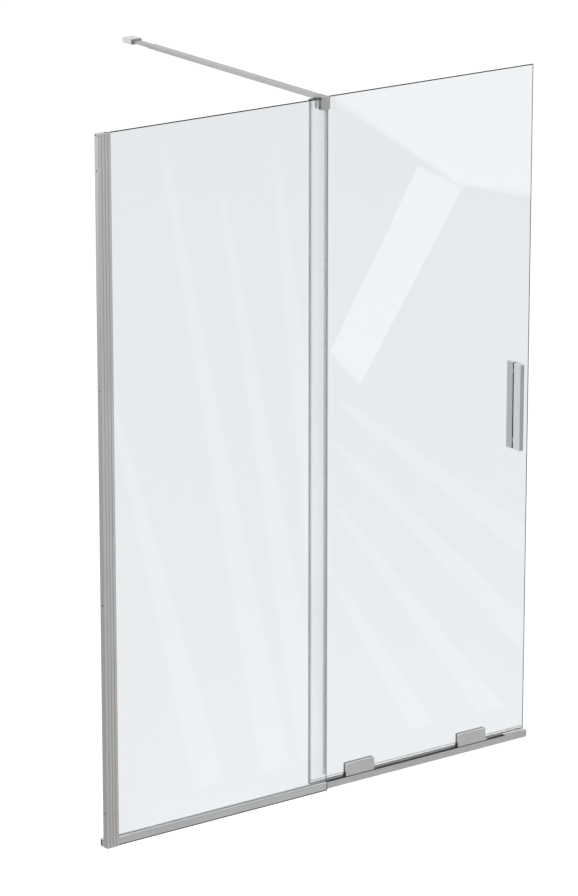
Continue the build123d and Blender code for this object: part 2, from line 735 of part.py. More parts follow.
# Clear seals on the door's lower edge, one on each side of each carriage, with a drip fin
seal_gap = liner_nub + bottom_seal_gap
seal_ends = [door_left + seal_web]
for start in carriage_starts.values():
    seal_ends += [start - seal_gap, start + carriage_length + seal_gap]
seal_ends.append(door_right - seal_web)
with BuildPart() as door_bottom_seals:
    for first, last in zip(seal_ends[::2], seal_ends[1::2]):
        with BuildSketch(Plane.YZ.offset(first)):
            clip_y = (door_front - bottom_seal_wall, door_back + bottom_seal_wall)
            clip_z = (door_bottom - bottom_seal_wall, door_bottom + bottom_seal_height)
            rectangle(clip_y, clip_z)
            rectangle((door_front, door_back), (door_bottom, clip_z[1]), Mode.SUBTRACT)
            fin_z = (track_height + 2 * lift_gap, clip_z[0])
            rectangle((door_front, door_front + bottom_seal_wall), fin_z)
        extrude(amount=last - first)
door_bottom_seals.part.label = "door_bottom_seals"
export_step(door_bottom_seals.part, "parts/door_bottom_seals.step")

# Clear seal on the door's inner edge, behind the fixed pane
with BuildPart() as door_edge_seal:
    edge_seal_bottom = door_bottom + bottom_seal_height + edge_seal_gap
    with BuildSketch(Plane.XY.offset(edge_seal_bottom)):
        outside_y = (door_front - bottom_seal_wall, door_back + bottom_seal_wall)
        rectangle((door_left - seal_web, door_left - seal_web + edge_seal_width), outside_y)
        inside_x = (door_left, door_left + edge_seal_width)
        rectangle(inside_x, (door_front, door_back), Mode.SUBTRACT)
    extrude(amount=screen_height - edge_seal_top_gap - edge_seal_bottom)
door_edge_seal.part.label = "door_edge_seal"
export_step(door_edge_seal.part, "parts/door_edge_seal.step")


def grip(y):
    """One grip of the handle: an upright flat bar on edge, with softened edges."""
    x = (handle_x - handle_width / 2, handle_x + handle_width / 2)
    half = handle_height / 2
    block(x, y, (handle_centre_height - half, handle_centre_height + half))


# Handle: two grips on common studs through the glass
front_grip_y = (door_front - handle_washer - handle_front_depth, door_front - handle_washer)
rear_grip_y = (door_back + handle_washer, door_back + handle_washer + handle_rear_depth)
stud_y = (front_grip_y[1] - handle_stud_bite, rear_grip_y[0] + handle_stud_bite)
with BuildPart() as handle_front:
    grip(front_grip_y)
    fillet(handle_front.edges().group_by(Axis.Y)[0], handle_edge)
    for z in stud_heights:
        hole_y = (stud_y[0], front_grip_y[1])
        pin_along_y(handle_x, hole_y, z, handle_stud_radius + screw_fit, Mode.SUBTRACT)
handle_front.part.label = "handle_front"
export_step(handle_front.part, "parts/handle_front.step")

grub_y = rear_grip_y[0] + handle_stud_bite / 2
grub_x = (handle_x + handle_stud_radius, handle_x + handle_width / 2)
with BuildPart() as handle_rear:
    grip(rear_grip_y)
    fillet(handle_rear.edges().group_by(Axis.Y)[-1], handle_edge)
    for z in stud_heights:
        hole_y = (rear_grip_y[0], stud_y[1])
        pin_along_y(handle_x, hole_y, z, handle_stud_radius + screw_fit, Mode.SUBTRACT)
    with BuildSketch(Plane.YZ.offset(handle_x)):
        with Locations(*[(grub_y, z) for z in stud_heights]):
            Circle(grub_screw_radius + screw_fit)
    extrude(amount=handle_width / 2, mode=Mode.SUBTRACT)
handle_rear.part.label = "handle_rear"
export_step(handle_rear.part, "parts/handle_rear.step")

with BuildPart() as handle_studs:
    for z in stud_heights:
        pin_along_y(handle_x, stud_y, z, handle_stud_radius)
handle_studs.part.label = "handle_studs"
export_step(handle_studs.part, "parts/handle_studs.step")

# Grub screws that lock the rear grip on the studs
with BuildPart() as handle_grub_screws:
    with BuildSketch(Plane.YZ.offset(grub_x[0])):
        with Locations(*[(grub_y, z) for z in stud_heights]):
            Circle(grub_screw_radius)
    extrude(amount=grub_x[1] - grub_x[0] - grub_screw_sink)
handle_grub_screws.part.label = "handle_grub_screws"
export_step(handle_grub_screws.part, "parts/handle_grub_screws.step")

# Flanged bushes that keep grips and studs off the glass, one from each face
with BuildPart() as handle_bushes:
    for z in stud_heights:
        for flange_y, sleeve_y in (
            ((front_grip_y[1], door_front), (door_front, pane_pitch)),
            ((door_back, rear_grip_y[0]), (pane_pitch, door_back)),
        ):
            pin_along_y(handle_x, flange_y, z, handle_width / 2 - handle_flange_margin)
            pin_along_y(handle_x, sleeve_y, z, handle_bush_radius)
        bore = handle_stud_radius + screw_fit
        pin_along_y(handle_x, (front_grip_y[1], rear_grip_y[0]), z, bore, Mode.SUBTRACT)
handle_bushes.part.label = "handle_bushes"
export_step(handle_bushes.part, "parts/handle_bushes.step")


# Carriages: a chassis behind and under the glass, with two roller forks, and a cover in front
for side, start in carriage_starts.items():
    forks = [start + fork_inset, start + carriage_length - fork_inset]
    screws = [start + clamp_screw_inset, start + carriage_length - clamp_screw_inset]
    with BuildPart() as carriage_chassis:
        with BuildSketch(from_front(chassis_front)) as outline:
            rectangle((start, start + carriage_length), (carriage_bottom, carriage_top))
            fillet(outline.vertices().group_by(Axis.Y)[-1], carriage_corner)
        extrude(amount=-carriage_plate)
        chamfer(carriage_chassis.faces().sort_by(Axis.Y)[-1].edges(), carriage_edge)
        sole_x = (start + sole_inset, start + carriage_length - sole_inset)
        block(sole_x, (cover_back, chassis_front), (carriage_bottom, sole_top))
        half_fork = track_slot / 2 - side_clearance
        for x in forks:
            cheek_x = (x - cheek_width / 2, x + cheek_width / 2)
            fork_y = (pane_pitch - half_fork, pane_pitch + half_fork)
            block(cheek_x, fork_y, (strip_top + 2 * lift_gap, carriage_bottom))
        for x in forks:
            half_gap = half_fork - cheek
            gap_x = (x - roller_radius - roller_gap, x + roller_radius + roller_gap)
            gap_y = (pane_pitch - half_gap, pane_pitch + half_gap)
            gap_z = (strip_top, axle_height + roller_radius + lift_gap)
            block(gap_x, gap_y, gap_z, Mode.SUBTRACT)
            pin_along_y(x, fork_y, axle_height, axle_radius + pin_fit, Mode.SUBTRACT)
        for x in screws:
            plate_y = (chassis_front, chassis_back)
            hole = clamp_screw_radius + clamp_screw_clearance
            pin_along_y(x, plate_y, clamp_screw_height, hole, Mode.SUBTRACT)
            head_y = (screw_seat, chassis_back)
            counterbore = clamp_screw_head + clamp_screw_clearance
            pin_along_y(x, head_y, clamp_screw_height, counterbore, Mode.SUBTRACT)
    carriage_chassis.part.label = f"carriage_{side}_chassis"
    export_step(carriage_chassis.part, f"parts/carriage_{side}_chassis.step")

    with BuildPart() as carriage_cover:
        with BuildSketch(from_front(cover_back)) as outline:
            rectangle((start, start + carriage_length), (carriage_bottom, carriage_top))
            fillet(outline.vertices().group_by(Axis.Y)[-1], carriage_corner)
        extrude(amount=cover_back - cover_front)
        fillet(carriage_cover.faces().sort_by(Axis.Y)[0].edges(), carriage_edge)
        for x in screws:
            thread_y = (cover_front + cover_front_wall, cover_back)
            pin_along_y(x, thread_y, clamp_screw_height, clamp_screw_radius + screw_fit, Mode.SUBTRACT)
    carriage_cover.part.label = f"carriage_{side}_cover"
    export_step(carriage_cover.part, f"parts/carriage_{side}_cover.step")

    with BuildPart() as carriage_keeper:
        keeper_middle = start + carriage_length / 2
        keeper_x = (keeper_middle - keeper_length / 2, keeper_middle + keeper_length / 2)
        foot_z = (track_lip_bottom - lift_gap - keeper_depth, track_lip_bottom - lift_gap)
        block(keeper_x, (cavity_front + side_clearance, cavity_back - side_clearance), foot_z)
        chamfer(carriage_keeper.edges().filter_by(Axis.Z), keeper_corner)
        neck = track_slot / 2 - side_clearance - contact_gap
        block(keeper_x, (pane_pitch - neck, pane_pitch + neck), (foot_z[1], carriage_bottom))
    carriage_keeper.part.label = f"carriage_{side}_keeper"
    export_step(carriage_keeper.part, f"parts/carriage_{side}_keeper.step")

# Rubber liners, a U round the lower edge of the glass in each carriage, with a nub at each end
with BuildPart() as carriage_liners:
    for start in carriage_starts.values():
        end = start + carriage_length
        nub_z = (carriage_bottom + liner_inset, carriage_bottom + liner_inset + liner_nub_height)
        block((start - liner_nub, end + liner_nub), (cover_back, chassis_front), nub_z)
        sheet_x = (start + liner_inset, end - liner_inset)
        block(sheet_x, (cover_back, chassis_front), (sole_top, carriage_top - liner_inset))
        inside_z = (door_bottom, carriage_top)
        inside_x = (start - liner_nub, end + liner_nub)
        block(inside_x, (door_front, door_back), inside_z, Mode.SUBTRACT)
        sole_x = (start + sole_inset, end - sole_inset)
        block(sole_x, (cover_back, chassis_front), (carriage_bottom, sole_top), Mode.SUBTRACT)
    window_z = (clamp_screw_height - sleeve_radius, clamp_screw_height + sleeve_radius)
    for x in clamp_screw_places:
        window_x = (x - sleeve_radius, x + sleeve_radius)
        block(window_x, (cover_back, chassis_front), window_z, Mode.SUBTRACT)
carriage_liners.part.label = "carriage_liners"
export_step(carriage_liners.part, "parts/carriage_liners.step")

# Clamp screws, from the back of each chassis through the glass into the cover
with BuildPart() as carriage_clamp_screws:
    for x in clamp_screw_places:
        shank_y = (cover_front + cover_front_wall + contact_gap, screw_seat)
        pin_along_y(x, shank_y, clamp_screw_height, clamp_screw_radius)
        head_y = (screw_seat, screw_seat + clamp_screw_head_depth)
        pin_along_y(x, head_y, clamp_screw_height, clamp_screw_head)
carriage_clamp_screws.part.label = "carriage_clamp_screws"
export_step(carriage_clamp_screws.part, "parts/carriage_clamp_screws.step")

# Sleeves that keep the clamp screws off the glass
with BuildPart() as carriage_sleeves:
    for x in clamp_screw_places:
        pin_along_y(x, (door_front, door_back), clamp_screw_height, sleeve_radius)
        bore = clamp_screw_radius + sleeve_clearance
        pin_along_y(x, (door_front, door_back), clamp_screw_height, bore, Mode.SUBTRACT)
carriage_sleeves.part.label = "carriage_sleeves"
export_step(carriage_sleeves.part, "parts/carriage_sleeves.step")

# Axles, pressed in the cheeks of the forks
with BuildPart() as roller_axles:
    for x in fork_places:
        half_fork = track_slot / 2 - side_clearance
        pin_along_y(x, (pane_pitch - half_fork, pane_pitch + half_fork), axle_height, axle_radius)
roller_axles.part.label = "roller_axles"
export_step(roller_axles.part, "parts/roller_axles.step")

# Rollers: rings that turn on the axles
roller_y = (pane_pitch - roller_width / 2, pane_pitch + roller_width / 2)
for number, x in enumerate(fork_places, start=1):
    with BuildPart() as roller:
        pin_along_y(x, roller_y, axle_height, roller_radius)
        pin_along_y(x, roller_y, axle_height, axle_radius + axle_fit, Mode.SUBTRACT)
    roller.part.label = f"roller_{number}"
    export_step(roller.part, f"parts/roller_{number}.step")
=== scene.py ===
# %% [markdown]
# # A sliding walk-in shower screen
#
# The screen is two panes of clear glass in slim metal fittings. Its construction comes ready made as a frame:
# every piece is at its real size and place, in metres, with Z up. This lesson gives each piece its finish,
# rebuilds the small screws that are too fine for the frame, and lights and films the result.

import math

import bpy
import bmesh
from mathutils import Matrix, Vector


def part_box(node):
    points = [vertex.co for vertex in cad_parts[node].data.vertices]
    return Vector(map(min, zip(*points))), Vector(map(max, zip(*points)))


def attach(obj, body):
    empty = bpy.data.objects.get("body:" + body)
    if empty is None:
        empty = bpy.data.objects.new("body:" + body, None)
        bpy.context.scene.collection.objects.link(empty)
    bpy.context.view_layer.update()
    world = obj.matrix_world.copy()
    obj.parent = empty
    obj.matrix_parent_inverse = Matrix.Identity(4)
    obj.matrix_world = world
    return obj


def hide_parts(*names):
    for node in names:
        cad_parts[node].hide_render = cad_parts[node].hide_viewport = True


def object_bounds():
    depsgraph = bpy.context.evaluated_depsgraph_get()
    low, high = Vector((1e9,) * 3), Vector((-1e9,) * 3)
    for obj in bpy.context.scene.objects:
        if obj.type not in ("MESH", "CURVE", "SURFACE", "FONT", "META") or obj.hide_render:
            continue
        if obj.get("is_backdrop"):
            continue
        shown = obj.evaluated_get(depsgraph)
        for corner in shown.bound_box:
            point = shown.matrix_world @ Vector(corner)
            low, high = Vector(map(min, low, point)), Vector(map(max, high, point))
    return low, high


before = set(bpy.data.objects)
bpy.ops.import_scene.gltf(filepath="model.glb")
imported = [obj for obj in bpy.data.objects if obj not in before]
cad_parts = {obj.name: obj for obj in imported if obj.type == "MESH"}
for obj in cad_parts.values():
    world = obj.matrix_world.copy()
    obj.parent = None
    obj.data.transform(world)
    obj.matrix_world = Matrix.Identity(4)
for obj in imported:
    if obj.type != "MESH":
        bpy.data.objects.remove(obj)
cad_low, cad_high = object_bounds()
print("pieces in the frame:", len(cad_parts))
print("size in metres:", [round(v, 3) for v in cad_high - cad_low])

# %% [markdown]
# ## Finishes
#
# A finish is a small tree of shader nodes. Every pattern reads Object coordinates, which are metres in the
# frame, so a grain of a tenth of a millimetre stays that size on every piece and slides with it.
# The first helper makes a material and returns it with its node tree and its main shader. The others add the
# few steps that every finish below needs.

# %% A bare material
mm = 0.001


def bare_material(name, **inputs):
    """A node material with one Principled shader, whose sockets are set by name."""
    material = bpy.data.materials.new(name)
    material.use_nodes = True
    tree = material.node_tree
    shader = tree.nodes["Principled BSDF"]
    for socket, value in inputs.items():
        shader.inputs[socket.replace("_", " ").title().replace("Ior", "IOR")].default_value = value
    return material, tree, shader


def node(tree, kind, **settings):
    """A new node of a kind such as TexNoise, with its properties set."""
    made = tree.nodes.new("ShaderNode" + kind)
    for key, value in settings.items():
        setattr(made, key, value)
    return made


def rgb(grey, warm=0.0):
    """A grey colour, a little warmer or cooler."""
    return (grey * (1 + warm), grey, grey * (1 - warm), 1.0)


def mottled(tree, pattern, colour, swing):
    """A colour that goes lighter and darker by swing with a pattern."""
    tone = node(tree, "Mix", data_type="RGBA")
    tone.inputs["A"].default_value = [(1 - swing) * c for c in colour[:3]] + [1.0]
    tone.inputs["B"].default_value = [min(1.0, (1 + swing) * c) for c in colour[:3]] + [1.0]
    tree.links.new(pattern, tone.inputs["Factor"])
    return tone.outputs["Result"]


def toned(tree, surface, where, tone):
    """A surface colour, multiplied by tone where a test is passed."""
    shade = node(tree, "Mix", data_type="RGBA", blend_type="MULTIPLY")
    shade.inputs["B"].default_value = (tone, tone, tone, 1.0)
    tree.links.new(where, shade.inputs["Factor"])
    tree.links.new(surface, shade.inputs["A"])
    return shade.outputs["Result"]


def near(tree, value, middle, reach):
    """1 where a value is no further than reach from a middle, else 0."""
    made = node(tree, "Math", operation="COMPARE")
    made.inputs[1].default_value = middle
    made.inputs[2].default_value = reach
    tree.links.new(value, made.inputs[0])
    return made.outputs["Value"]


def passes_test(tree, value, operation, limit):
    """1 where a value passes a test against a limit, else 0."""
    made = node(tree, "Math", operation=operation)
    made.inputs[1].default_value = limit
    tree.links.new(value, made.inputs[0])
    return made.outputs["Value"]


def either(tree, first, second):
    """1 where one of two tests is passed."""
    made = node(tree, "Math", operation="MAXIMUM")
    tree.links.new(first, made.inputs[0])
    tree.links.new(second, made.inputs[1])
    return made.outputs["Value"]


# %% [markdown]
# ## Metals
#
# Extruded aluminium leaves the die with fine lines along its length, and anodising turns them to a satin.
# Cast or machined fittings are brushed, which leaves shorter lines. Both are the same recipe: a noise that is
# stretched along one axis drives the roughness and a very low bump, and a second, broad noise keeps the
# colour from being dead even. A texture image would need an unwrapped mesh; noise in metres needs none.

# %% Satin and brushed metal
cloud_scale, cloud_swing = 14.0, 0.06
line_depth = 0.02 * mm


def metal(name, colour, roughness, along, line_width=0.25 * mm, line_length=60 * mm):
    """Metal with fine lines along one axis, which move its roughness up and down by a spread."""
    spread, bump = 0.08, 0.15
    material, tree, shader = bare_material(name, base_color=colour, metallic=1.0, roughness=roughness)
    place = node(tree, "TexCoord")
    stretch = node(tree, "Mapping")
    scales = [1 / line_width] * 3
    scales["XYZ".index(along)] = 1 / line_length
    stretch.inputs["Scale"].default_value = scales
    tree.links.new(place.outputs["Object"], stretch.inputs["Vector"])
    lines = node(tree, "TexNoise")
    lines.inputs["Scale"].default_value = 1.0
    lines.inputs["Detail"].default_value = 3.0
    tree.links.new(stretch.outputs["Vector"], lines.inputs["Vector"])
    rough = node(tree, "MapRange")
    rough.inputs["To Min"].default_value = roughness - spread
    rough.inputs["To Max"].default_value = roughness + spread
    tree.links.new(lines.outputs["Fac"], rough.inputs["Value"])
    tree.links.new(rough.outputs["Result"], shader.inputs["Roughness"])
    clouds = node(tree, "TexNoise")
    clouds.inputs["Scale"].default_value = cloud_scale
    tree.links.new(place.outputs["Object"], clouds.inputs["Vector"])
    tree.links.new(mottled(tree, clouds.outputs["Fac"], colour, cloud_swing), shader.inputs["Base Color"])
    ridges = node(tree, "Bump")
    ridges.inputs["Strength"].default_value = bump
    ridges.inputs["Distance"].default_value = line_depth
    tree.links.new(lines.outputs["Fac"], ridges.inputs["Height"])
    tree.links.new(ridges.outputs["Normal"], shader.inputs["Normal"])
    return material


print("lines in metal are", round(line_depth / mm, 2), "mm deep")

# %% [markdown]
# Two small additions go between the colour and the shader. The bottoms of the flutes of the wall profile get
# painted shade. Some pieces get painted shade on the faces that look one way, and the track gets painted
# light on its top. Those tones are a choice for the look: they bring the metals near to the greys of the
# photograph, where the studio around them is not known.

# %% Grooves and faces
def paint_groove_shade(material, places, half_width, tone):
    """Painted shade in straight grooves that run along Z, at these places along X."""
    tree = material.node_tree
    colour = tree.nodes["Principled BSDF"].inputs["Base Color"]
    place, parts = node(tree, "TexCoord"), node(tree, "SeparateXYZ")
    tree.links.new(place.outputs["Object"], parts.inputs["Vector"])
    surface = colour.links[0].from_socket
    for x in places:
        surface = toned(tree, surface, near(tree, parts.outputs["X"], x, half_width), tone)
    tree.links.new(surface, colour)


def paint_light_shade_on_faces(material, direction, tone):
    """Painted light and shade: the colour of the faces that look in one direction, multiplied by tone."""
    tree = material.node_tree
    colour = tree.nodes["Principled BSDF"].inputs["Base Color"]
    towards = node(tree, "VectorMath", operation="DOT_PRODUCT")
    towards.inputs[1].default_value = direction
    tree.links.new(node(tree, "TexCoord").outputs["Normal"], towards.inputs[0])
    # the faces that get painted light and shade
    painted_faces = passes_test(tree, towards.outputs["Value"], "GREATER_THAN", 0.5)
    tree.links.new(toned(tree, colour.links[0].from_socket, painted_faces, tone), colour)


# %% [markdown]
# Now the metals themselves. Each has its grey, its roughness and the axis that its lines run along.

# %% The metals of the screen
profile_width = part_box("wall_profile")[1].x
left, front, top = (-1, 0, 0), (0, -1, 0), (0, 0, 1)
profile_satin = metal("profile_satin", rgb(0.68, 0.012), 0.34, "Z")
# painted shade in the bottoms of the three flutes of the profile, its cap and its channel
paint_groove_shade(profile_satin, [profile_width * n / 4 for n in (1, 2, 3)], 1.4 * mm, 0.72)
# painted shade on the faces of the profile that look left
paint_light_shade_on_faces(profile_satin, left, 0.78)
rail_satin = metal("rail_satin", rgb(0.68, -0.004), 0.36, "X")
track_satin = metal("track_satin", rgb(0.62, 0.0), 0.38, "X")
# painted light on the top faces of the track
paint_light_shade_on_faces(track_satin, top, 1.15)
carriage_brushed = metal("carriage_brushed", rgb(0.67, 0.0), 0.36, "Z", 0.2 * mm, 8 * mm)
clamp_brushed = metal("clamp_brushed", rgb(0.41, 0.004), 0.38, "Z", 0.2 * mm, 8 * mm)
handle_satin = metal("handle_satin", rgb(0.74, -0.012), 0.32, "Z", 0.2 * mm, 20 * mm)
# painted shade on the faces of the handle that look to the front
paint_light_shade_on_faces(handle_satin, front, 0.74)
bar_satin = metal("bar_satin", rgb(0.48, -0.03), 0.32, "Y")
bracket_satin = metal("bracket_satin", rgb(0.76, -0.012), 0.36, "Z", 0.2 * mm, 8 * mm)
collar_satin = metal("collar_satin", rgb(0.34, -0.012), 0.36, "Z", 0.2 * mm, 8 * mm)
# painted shadow: the top of the bracket's collar is nearly black, as the gap where the bar goes in
paint_light_shade_on_faces(collar_satin, top, 0.06)
screw_steel = metal("screw_steel", rgb(0.56, 0.0), 0.26, "Y", 0.1 * mm, 0.1 * mm)
print("metals made:", sum(m.name.endswith(("satin", "brushed", "steel")) for m in bpy.data.materials))

# %% [markdown]
# ## Clear glass
#
# The panes are 6 mm clear float glass with ground edges. The broad faces are a Principled shader with full
# transmission and a faint cool tint. A pane's edge looks dark, because light that enters the face runs along
# the pane and leaves at the far side. That darkness is painted shade: the tree switches to a dark, nearly
# opaque shader where the surface faces along the pane, and in a band of nearly two millimetres along the top.
# The foot and the right edge are seen from inside the glass and get a pale colour, which is painted light.
# The fixed pane has a painted pale band just above its rail too. That is painted light, a choice for the look
# and not a piece of the screen: it covers a dark band of shade that shows through the glass there.
# Lamps pass straight through, by a Transparent shader on shadow rays.

# %% Glass
def see_through(name, colour, edge_colour, pale_edge_colour, passes, painted_dark_from, foot):
    """Clear sheet in the XZ plane. passes is the light that goes through it. Its edges get painted shade, as
    do its faces above the first height, and its faces below the height called foot get a painted pale colour."""
    material, tree, shader = bare_material(
        name, base_color=colour, roughness=0.0, ior=1.5, transmission_weight=1.0
    )
    place = node(tree, "TexCoord")
    looks, at = node(tree, "SeparateXYZ"), node(tree, "SeparateXYZ")
    tree.links.new(place.outputs["Normal"], looks.inputs["Vector"])
    tree.links.new(place.outputs["Object"], at.inputs["Vector"])
    facing = node(tree, "Math", operation="ABSOLUTE")
    tree.links.new(looks.outputs["Y"], facing.inputs[0])
    side_on = passes_test(tree, facing.outputs["Value"], "LESS_THAN", 0.9)
    # painted shade on the faces in the band along the top
    in_painted_dark_band = passes_test(tree, at.outputs["Z"], "GREATER_THAN", painted_dark_from)
    # painted light on the faces below the foot height
    in_painted_pale_foot = passes_test(tree, at.outputs["Z"], "LESS_THAN", foot)
    looks_right = passes_test(tree, looks.outputs["X"], "GREATER_THAN", 0.5)
    looks_down = passes_test(tree, looks.outputs["Z"], "LESS_THAN", -0.5)
    # the edge colour: painted shade on edges, and painted light on faces that look right or down
    tone = node(tree, "Mix", data_type="RGBA")
    tone.inputs["A"].default_value = edge_colour
    tone.inputs["B"].default_value = pale_edge_colour
    pale = either(tree, either(tree, looks_right, looks_down), in_painted_pale_foot)
    tree.links.new(pale, tone.inputs["Factor"])
    edge = node(tree, "BsdfPrincipled")
    tree.links.new(tone.outputs["Result"], edge.inputs["Base Color"])
    edge.inputs["Roughness"].default_value = 0.4
    edge.inputs["Specular IOR Level"].default_value = 0.06
    pick = node(tree, "MixShader")
    tree.links.new(either(tree, either(tree, side_on, in_painted_dark_band), in_painted_pale_foot), pick.inputs["Fac"])
    tree.links.new(shader.outputs["BSDF"], pick.inputs[1])
    tree.links.new(edge.outputs["BSDF"], pick.inputs[2])
    path = node(tree, "LightPath")
    passing = node(tree, "BsdfTransparent")
    passing.inputs["Color"].default_value = passes
    whole = node(tree, "MixShader")
    tree.links.new(path.outputs["Is Shadow Ray"], whole.inputs["Fac"])
    tree.links.new(pick.outputs["Shader"], whole.inputs[1])
    tree.links.new(passing.outputs["BSDF"], whole.inputs[2])
    tree.links.new(whole.outputs["Shader"], tree.nodes["Material Output"].inputs["Surface"])
    return material


# %% [markdown]
# The two panes differ only in the height of their painted pale foot.

# %% The panes
clear, passes = (0.915, 0.94, 0.957, 1), (0.95, 0.96, 0.97, 1)
# painted shade for the pane's edges, and painted light for the faces seen pale from inside the glass
dark_edge, pale_edge = (0.012, 0.016, 0.018, 1), (0.86, 0.89, 0.91, 1)
pane_top = min(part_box("fixed_glass")[1].z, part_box("sliding_glass")[1].z)
# painted shade on the faces in a band along the top of each pane
painted_dark_from = pane_top - 1.8 * mm
# painted light: a pale band on the fixed pane up to 4 mm above its rail, over shade seen through the glass
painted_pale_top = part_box("fixed_rail")[1].z + 4 * mm
door_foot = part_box("sliding_glass")[0].z
fixed_pane = see_through("fixed_pane", clear, dark_edge, pale_edge, passes, painted_dark_from, painted_pale_top)
sliding_pane = see_through("sliding_pane", clear, dark_edge, pale_edge, passes, painted_dark_from, door_foot)
print("arris above", round(painted_dark_from / mm, 1), "painted pale band below", round(painted_pale_top / mm, 1), "mm")

# %% [markdown]
# ## Clear vinyl
#
# The seals are thin clear vinyl. Bending light through such a thin wall costs much and shows little, so the
# vinyl is a glossy skin that lets most of what is behind it show: an Alpha well below one. The rims of the
# clip-on seals look dark where light bends at them, and that darkness is painted shade: bands of dark colour,
# less clear, at the heights of the rims.

# %% Seals
haze_scale, haze_swing = 90.0, 0.08
# painted shade: a dark colour and a higher Alpha at the heights of the seal rims
rim_half_height, rim_solid, painted_rim_shade = 0.5 * mm, 0.8, (0.10, 0.105, 0.11, 1.0)


def vinyl(name, colour, solid, rims=()):
    """Clear vinyl. solid is how far it hides what is behind it. rims are the heights of its bands of painted
    shade.
    """
    material, tree, shader = bare_material(name, base_color=colour, roughness=0.22, alpha=solid)
    place, parts = node(tree, "TexCoord"), node(tree, "SeparateXYZ")
    tree.links.new(place.outputs["Object"], parts.inputs["Vector"])
    haze = node(tree, "TexNoise")
    haze.inputs["Scale"].default_value = haze_scale
    tree.links.new(place.outputs["Object"], haze.inputs["Vector"])
    surface = mottled(tree, haze.outputs["Fac"], colour, haze_swing)
    in_rims = None
    # a band of painted shade at each rim
    for height in rims:
        in_rim = near(tree, parts.outputs["Z"], height, rim_half_height)
        dark = node(tree, "Mix", data_type="RGBA")
        dark.inputs["B"].default_value = painted_rim_shade
        tree.links.new(in_rim, dark.inputs["Factor"])
        tree.links.new(surface, dark.inputs["A"])
        surface = dark.outputs["Result"]
        in_rims = either(tree, in_rims, in_rim) if in_rims else in_rim
    tree.links.new(surface, shader.inputs["Base Color"])
    if in_rims:
        solidity = node(tree, "MapRange")
        solidity.inputs["To Min"].default_value = solid
        solidity.inputs["To Max"].default_value = rim_solid
        tree.links.new(in_rims, solidity.inputs["Value"])
        tree.links.new(solidity.outputs["Result"], shader.inputs["Alpha"])
    return material


seal_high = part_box("door_bottom_seals")[1]
clear_vinyl = vinyl("clear_vinyl", rgb(0.60, -0.01), 0.22)
bottom_vinyl = vinyl("bottom_vinyl", rgb(0.9, -0.01), 0.06, (door_foot, seal_high.z))
pale_strip = vinyl("pale_strip", rgb(0.75, -0.01), 0.85)
print("vinyl rims at", round(door_foot * 1000, 1), round(seal_high.z * 1000, 1), "mm")

# %% [markdown]
# ## Rubber and plastic
#
# The gaskets, pads and buffers are rubber, and the setting blocks, packers, keepers and rollers are moulded
# plastic. Neither is one flat colour up close: rubber is mottled, and a moulding carries the fine spark
# texture of its tool. One fine noise, in the colour and in the bump, gives both.

# %% Moulded materials
grain_size, grain_depth, grain_swing = 0.4 * mm, 0.03 * mm, 0.2


def moulded(name, colour, roughness, bump=0.2):
    """Matt plastic or rubber with a fine grain."""
    material, tree, shader = bare_material(name, base_color=colour, roughness=roughness)
    place = node(tree, "TexCoord")
    grains = node(tree, "TexNoise")
    grains.inputs["Scale"].default_value = 1 / grain_size
    grains.inputs["Detail"].default_value = 2.0
    tree.links.new(place.outputs["Object"], grains.inputs["Vector"])
    tree.links.new(mottled(tree, grains.outputs["Fac"], colour, grain_swing), shader.inputs["Base Color"])
    texture = node(tree, "Bump")
    texture.inputs["Strength"].default_value = bump
    texture.inputs["Distance"].default_value = grain_depth
    tree.links.new(grains.outputs["Fac"], texture.inputs["Height"])
    tree.links.new(texture.outputs["Normal"], shader.inputs["Normal"])
    return material


dark_rubber = moulded("dark_rubber", rgb(0.03), 0.6)
dark_plastic = moulded("dark_plastic", rgb(0.05), 0.45)
grey_gasket = moulded("grey_gasket", rgb(0.42), 0.5)
pale_plastic = moulded("pale_plastic", rgb(0.62), 0.5)
white_nylon = moulded("white_nylon", rgb(0.78, 0.01), 0.4)

# %% [markdown]
# ## Who gets what
#
# A piece of the frame keeps its mesh, and only its material slots change. The table below reads like a
# parts list: each finish, and the pieces that have it.

# %% Finishes on the frame
finishes = {
    profile_satin: ["wall_channel", "wall_profile", "wall_profile_cap"],
    rail_satin: ["fixed_rail", "track_end_left", "track_end_right", "track_stops"],
    track_satin: ["slide_track"],
    clamp_brushed: ["clamp_body"],
    carriage_brushed: [
        "carriage_left_chassis",
        "carriage_left_cover",
        "carriage_right_chassis",
        "carriage_right_cover",
    ],
    handle_satin: ["handle_front", "handle_rear"],
    bar_satin: ["support_bar_tube", "support_bar_rod"],
    bracket_satin: ["bar_bracket_base", "bar_bracket_body"],
    screw_steel: [
        "profile_lock_screws",
        "track_running_strip",
        "track_stop_screws",
        "clamp_set_screws",
        "support_bar_screws",
        "bar_bracket_screw",
        "handle_studs",
        "handle_grub_screws",
        "carriage_clamp_screws",
        "roller_axles",
    ],
    fixed_pane: ["fixed_glass"],
    sliding_pane: ["sliding_glass"],
    clear_vinyl: ["overlap_seal", "door_edge_seal"],
    bottom_vinyl: ["door_bottom_seals"],
    pale_strip: ["track_seal_rear"],
    grey_gasket: ["fixed_rail_beads"],
    dark_rubber: [
        "fixed_glass_gasket",
        "fixed_rail_floor_seal",
        "track_seal_front",
        "track_buffers",
        "clamp_pads",
        "carriage_liners",
    ],
    dark_plastic: ["setting_blocks", "fixed_rail_end_cap"],
    collar_satin: ["bar_bracket_collar"],
    pale_plastic: ["fixed_rail_packers"],
    white_nylon: [
        "clamp_guide_liner",
        "handle_bushes",
        "carriage_left_keeper",
        "carriage_right_keeper",
        "carriage_sleeves",
        "roller_1",
        "roller_2",
        "roller_3",
        "roller_4",
    ],
}
for material, names in finishes.items():
    for name in names:
        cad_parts[name].data.materials.clear()
        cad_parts[name].data.materials.append(material)
finished = {name for names in finishes.values() for name in names}
